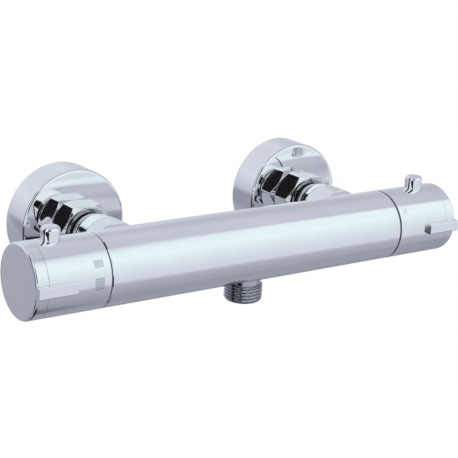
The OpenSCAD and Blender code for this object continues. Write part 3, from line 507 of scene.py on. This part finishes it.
class Studio(Nodes):
    """What the plating mirrors, by the direction looked in: azimuth 0 is the front, 90 the right, in degrees."""

    def __init__(self):
        world = bpy.data.worlds.new("studio")
        bpy.context.scene.world = world
        world.use_nodes = True
        super().__init__(world.node_tree)
        coord = self.add("ShaderNodeTexCoord")
        split = self.add("ShaderNodeSeparateXYZ")
        self.link(coord, "Generated", split, 0)
        flip = self.math("MULTIPLY", (split, "Y"), -1)
        turn = self.math("ARCTAN2", (split, "X"), (flip, 0))
        self.azimuth = self.math("DEGREES", (turn, 0))
        rise = self.math("ARCSINE", (split, "Z"))
        self.height = self.math("DEGREES", (rise, 0))

    def math(self, operation, *values):
        """A Math node; each value is a number or a (node, output)."""
        node = self.add("ShaderNodeMath", operation=operation)
        for i, v in enumerate(values):
            if isinstance(v, tuple):
                self.link(v[0], v[1], node, i)
            else:
                node.inputs[i].default_value = v
        return node

    def step(self, source, low, high):
        """Rises smoothly from 0 at low to 1 at high."""
        node = self.add("ShaderNodeMapRange", interpolation_type="SMOOTHSTEP")
        node.inputs["From Min"].default_value = low
        node.inputs["From Max"].default_value = high
        self.link(source, 0, node, "Value")
        return node

    def window(self, source, a, b, soft):
        """1 between a and b, with soft edges."""
        up = self.step(source, a - soft, a + soft)
        down = self.step(source, b + soft, b - soft)
        return self.math("MULTIPLY", (up, 0), (down, 0))

    def ladder(self, stops):
        """Grey levels by elevation, from straight down to straight up."""
        share = self.add("ShaderNodeMapRange")
        share.inputs["From Min"].default_value = -90
        share.inputs["From Max"].default_value = 90
        self.link(self.height, 0, share, "Value")
        node = self.add("ShaderNodeValToRGB")
        ramp = node.color_ramp
        while len(ramp.elements) < len(stops):
            ramp.elements.new(0.5)
        for e, (deg, level) in zip(ramp.elements, stops):
            e.position = (deg + 90) / 180
            e.color = linear(cool(level))
        self.link(share, 0, node, 0)
        return node

    def mix(self, factor, a, b):
        """From a to b, each a colour, a ladder or another mix."""
        node = self.add("ShaderNodeMix", data_type="RGBA")
        self.link(factor, 0, node, "Factor")
        for slot, value in ((6, a), (7, b)):
            if isinstance(value, tuple):
                node.inputs[slot].default_value = value
            else:
                self.link(value, 2 if value.bl_idname == "ShaderNodeMix" else 0, node, slot)
        return node


# Studio light as (elevation, grey level on screen). In front: a grey floor, a large soft box from -27 to 56 degrees and
# the ceiling. At the right side: floor, a bright strip near the horizon and a wall. Behind: floor and a pale wall.
FRONT = (
    (-90, 12), (-66, 16), (-61, 148), (-50, 161), (-42, 166), (-33, 175), (-28, 188), (-26.5, 208), (-18, 214),
    (-2, 223), (14, 235), (22, 241), (30, 246), (44, 244), (50, 238), (56, 215), (60, 179), (70, 192), (90, 194),
)
SIDE = (
    (-90, 12), (-66, 16), (-61, 149), (-50, 156), (-42, 147), (-28, 151), (-20, 168), (-12, 217), (-4, 219),
    (6, 201), (20, 190), (36, 184), (44, 192), (54, 201), (62, 194), (90, 194),
)
BACK = (
    (-90, 12), (-66, 16), (-61, 147), (-50, 150), (-34, 165), (-24, 161), (-16, 169), (-8, 181), (0, 196),
    (10, 210), (20, 220), (30, 216), (42, 212), (60, 197), (90, 194),
)
NEAR_WALL = (147, 149, 169)  # on screen; below the horizon at the back left, where the flow knob's cap looks
# Dark openings of the room at the left: azimuth from and to, elevation from and to
OPENINGS = ((-57, -22, 6, 44), (-84, -41, -32, -8), (-114, -88, -48, 50))


def surroundings():
    """Everything that the plating mirrors, and the plain white that the camera and matt surfaces see."""
    w = Studio()
    front, side, back = w.ladder(FRONT), w.ladder(SIDE), w.ladder(BACK)
    to_side = w.step(w.azimuth, 64, 74)
    to_back = w.step(w.azimuth, 136, 158)
    room = w.mix(to_back, w.mix(to_side, front, side), back)
    behind_left = w.step(w.azimuth, -104, -112)
    room = w.mix(behind_left, room, back)
    near_wall = w.window(w.azimuth, -149, -110, 2)
    below = w.step(w.height, -2, -10)
    shadow = w.math("MULTIPLY", (near_wall, 0), (below, 0))
    room = w.mix(shadow, room, linear(NEAR_WALL))
    for left, right, low, high in OPENINGS:
        wide = w.window(w.azimuth, left, right, 2)
        tall = w.window(w.height, low, high, 3)
        dark = w.math("MULTIPLY", (wide, 0), (tall, 0))
        room = w.mix(dark, room, (0.012, 0.0105, 0.0115, 1))
    path = w.add("ShaderNodeLightPath")
    mirrored = w.add("ShaderNodeBackground")
    w.link(room, 2, mirrored, "Color")
    plain = w.add("ShaderNodeBackground")
    plain.inputs["Color"].default_value = (1, 1, 1, 1)
    plain.inputs["Strength"].default_value = 0.7
    white = w.add("ShaderNodeBackground")
    white.inputs["Color"].default_value = (1, 1, 1, 1)
    soft = w.add("ShaderNodeMixShader")
    w.link(path, "Is Glossy Ray", soft, 0)
    w.link(plain, 0, soft, 1)
    w.link(mirrored, 0, soft, 2)
    final = w.add("ShaderNodeMixShader")
    w.link(path, "Is Camera Ray", final, 0)
    w.link(soft, 0, final, 1)
    w.link(white, 0, final, 2)
    out = w.add("ShaderNodeOutputWorld")
    w.link(final, 0, out, 0)


def lamp(name, where, size, power):
    """Soft disc that looks at the valve."""
    light = bpy.data.lights.new(name, "AREA")
    light.shape = "DISK"
    light.size = size
    light.energy = power
    obj = bpy.data.objects.new(name, light)
    obj.location = where
    obj.rotation_euler = (Vector((0, -0.05, 0)) - Vector(where)).to_track_quat("-Z", "Y").to_euler()
    obj.visible_glossy = False
    bpy.context.scene.collection.objects.link(obj)


def camera():
    """The photograph's view, fitted to the outlines of the object. Focal length and width are in pixels."""
    az, el, roll = math.radians(-36.342), math.radians(16.505), math.radians(3.21)
    distance, focal, width = 0.766736, 1433.609, 458
    aim = Vector((-0.011689, BAR_Y, 0.010872 + BAR_Z))
    back = Vector((math.sin(az) * math.cos(el), -math.cos(az) * math.cos(el), math.sin(el)))
    side = Vector((math.cos(az), math.sin(az), 0))
    up = back.cross(side)
    right = math.cos(roll) * side + math.sin(roll) * up
    top = -math.sin(roll) * side + math.cos(roll) * up
    data = bpy.data.cameras.new("camera")
    data.sensor_width = 36
    data.lens = focal / width * data.sensor_width
    data.clip_start = 0.01
    obj = bpy.data.objects.new("camera", data)
    m = Matrix((right, top, back)).transposed().to_4x4()
    m.translation = back * distance + aim
    obj.matrix_world = m
    bpy.context.scene.collection.objects.link(obj)
    bpy.context.scene.camera = obj


stage_floor()
surroundings()
lamp("key", (0.5, -0.9, 0.8), 0.8, 9)
lamp("fill", (-0.9, -0.5, 0.5), 0.9, 4)
camera()
bpy.context.scene.view_settings.view_transform = "Standard"
